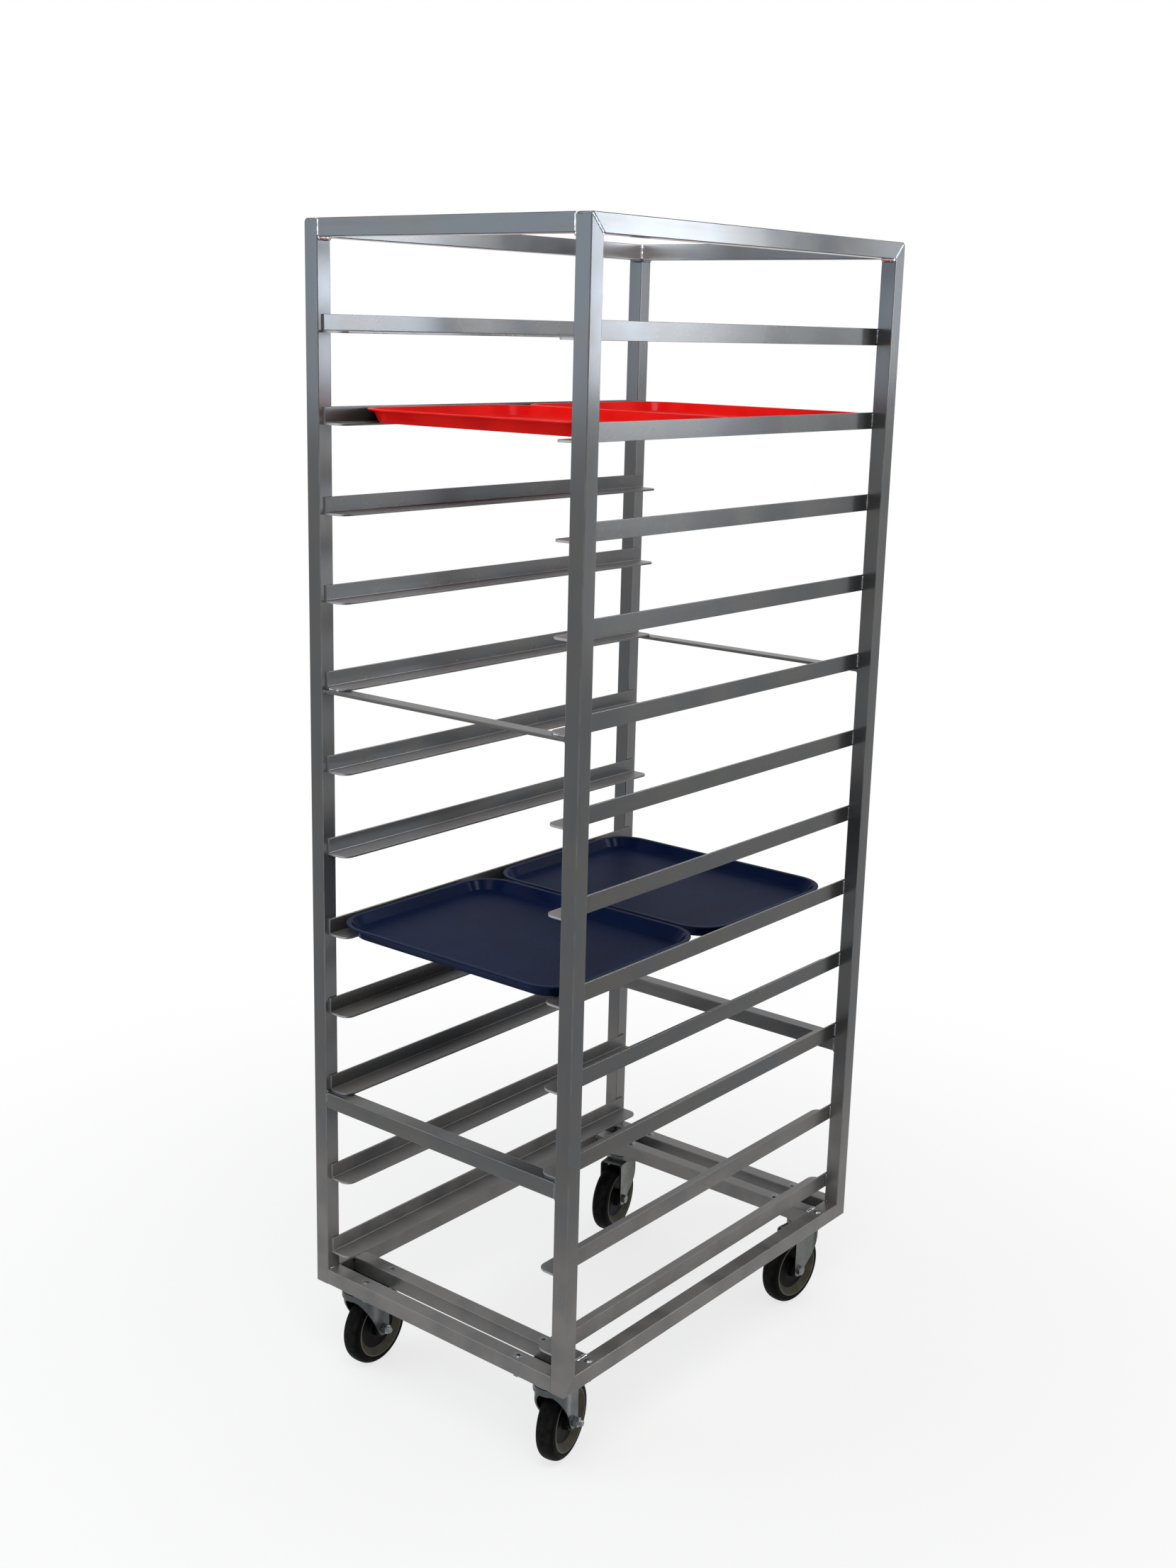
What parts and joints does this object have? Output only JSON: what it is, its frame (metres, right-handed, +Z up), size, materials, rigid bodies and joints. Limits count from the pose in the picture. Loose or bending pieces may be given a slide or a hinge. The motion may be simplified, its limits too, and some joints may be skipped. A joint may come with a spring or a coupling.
{
  "type": "cafeteria tray rack",
  "caption": "Tall welded aluminium tube rack on swivel casters, with paired angle runners that carry cafeteria trays slid in from either end.",
  "frame": {"origin": "on the floor below the middle of the frame", "axes": "+X to the right seen from the front, +Y from front to back, +Z up"},
  "size_m": [0.5144, 0.762, 1.7796],
  "materials": {
    "aluminium": "mill finish tube",
    "runner": "mill finish angle",
    "zinc_steel": "zinc plated",
    "wheel_core": "moulded",
    "tyre": "matte black rubber",
    "red_tray": "fine grained",
    "blue_tray": "fine grained"
  },
  "bodies": {
    "frame": {"front_left_post": "aluminium", "rear_left_post": "aluminium", "top_left_side_rail": "aluminium", "bottom_left_side_rail": "aluminium", "front_right_post": "aluminium", "rear_right_post": "aluminium", "top_right_side_rail": "aluminium", "bottom_right_side_rail": "aluminium", "top_front_rail": "aluminium", "bottom_front_outer_rail": "aluminium", "bottom_front_inner_rail": "aluminium", "lower_front_cross_tube": "aluminium", "front_flat_bar": "aluminium", "top_rear_rail": "aluminium", "bottom_rear_outer_rail": "aluminium", "bottom_rear_inner_rail": "aluminium", "lower_rear_cross_tube": "aluminium", "rear_flat_bar": "aluminium", "runner_pair_01": "runner", "runner_pair_02": "runner", "runner_pair_03": "runner", "runner_pair_04": "runner", "runner_pair_05": "runner", "runner_pair_06": "runner", "runner_pair_07": "runner", "runner_pair_08": "runner", "runner_pair_09": "runner", "runner_pair_10": "runner", "runner_pair_11": "runner", "runner_pair_12": "runner", "caster_plates": "zinc_steel", "swivel_races": "zinc_steel", "kingpins": "zinc_steel", "caster_bolts": "zinc_steel", "caster_nuts": "zinc_steel"},
    "front_left_caster": {"front_left_fork": "zinc_steel", "front_left_axle_bolt": "zinc_steel", "front_left_axle_nut": "zinc_steel"},
    "front_left_wheel": {"front_left_wheel_core": "wheel_core", "front_left_tyre": "tyre"},
    "rear_left_caster": {"rear_left_fork": "zinc_steel", "rear_left_axle_bolt": "zinc_steel", "rear_left_axle_nut": "zinc_steel"},
    "rear_left_wheel": {"rear_left_wheel_core": "wheel_core", "rear_left_tyre": "tyre"},
    "front_right_caster": {"front_right_fork": "zinc_steel", "front_right_axle_bolt": "zinc_steel", "front_right_axle_nut": "zinc_steel"},
    "front_right_wheel": {"front_right_wheel_core": "wheel_core", "front_right_tyre": "tyre"},
    "rear_right_caster": {"rear_right_fork": "zinc_steel", "rear_right_axle_bolt": "zinc_steel", "rear_right_axle_nut": "zinc_steel"},
    "rear_right_wheel": {"rear_right_wheel_core": "wheel_core", "rear_right_tyre": "tyre"},
    "red_front_tray": {"red_front_tray": "red_tray"},
    "red_rear_tray": {"red_rear_tray": "red_tray"},
    "blue_front_tray": {"blue_front_tray": "blue_tray"},
    "blue_rear_tray": {"blue_rear_tray": "blue_tray"}
  },
  "joints": [
    {"name": "front_left_swivel", "type": "hinge", "parent": "frame", "child": "front_left_caster", "pos_m": [-0.20162, -0.33972, 0.154], "axis": [0, 0, 1], "continuous": true},
    {"name": "front_left_roll", "type": "hinge", "parent": "front_left_caster", "child": "front_left_wheel", "pos_m": [-0.20364, -0.30679, 0.0625], "axis": [0.9981, 0.061, 0], "continuous": true},
    {"name": "rear_left_swivel", "type": "hinge", "parent": "frame", "child": "rear_left_caster", "pos_m": [-0.20162, 0.33972, 0.154], "axis": [0, 0, 1], "continuous": true},
    {"name": "rear_left_roll", "type": "hinge", "parent": "rear_left_caster", "child": "rear_left_wheel", "pos_m": [-0.19533, 0.30733, 0.0625], "axis": [-0.9816, -0.1908, 0], "continuous": true},
    {"name": "front_right_swivel", "type": "hinge", "parent": "frame", "child": "front_right_caster", "pos_m": [0.20162, -0.33972, 0.154], "axis": [0, 0, 1], "continuous": true},
    {"name": "front_right_roll", "type": "hinge", "parent": "front_right_caster", "child": "front_right_wheel", "pos_m": [0.1942, -0.30757, 0.0625], "axis": [0.9744, 0.225, 0], "continuous": true},
    {"name": "rear_right_swivel", "type": "hinge", "parent": "frame", "child": "rear_right_caster", "pos_m": [0.20162, 0.33972, 0.154], "axis": [0, 0, 1], "continuous": true},
    {"name": "rear_right_roll", "type": "hinge", "parent": "rear_right_caster", "child": "rear_right_wheel", "pos_m": [0.19846, 0.30688, 0.0625], "axis": [-0.9954, 0.0958, 0], "continuous": true},
    {"name": "red_front_tray_slide", "type": "slide", "parent": "frame", "child": "red_front_tray", "axis": [0, -1, 0], "range_m": [0, 0.3]},
    {"name": "red_rear_tray_slide", "type": "slide", "parent": "frame", "child": "red_rear_tray", "axis": [0, 1, 0], "range_m": [0, 0.3]},
    {"name": "blue_front_tray_slide", "type": "slide", "parent": "frame", "child": "blue_front_tray", "axis": [0, -1, 0], "range_m": [0, 0.3]},
    {"name": "blue_rear_tray_slide", "type": "slide", "parent": "frame", "child": "blue_rear_tray", "axis": [0, 1, 0], "range_m": [0, 0.3]}
  ]
}
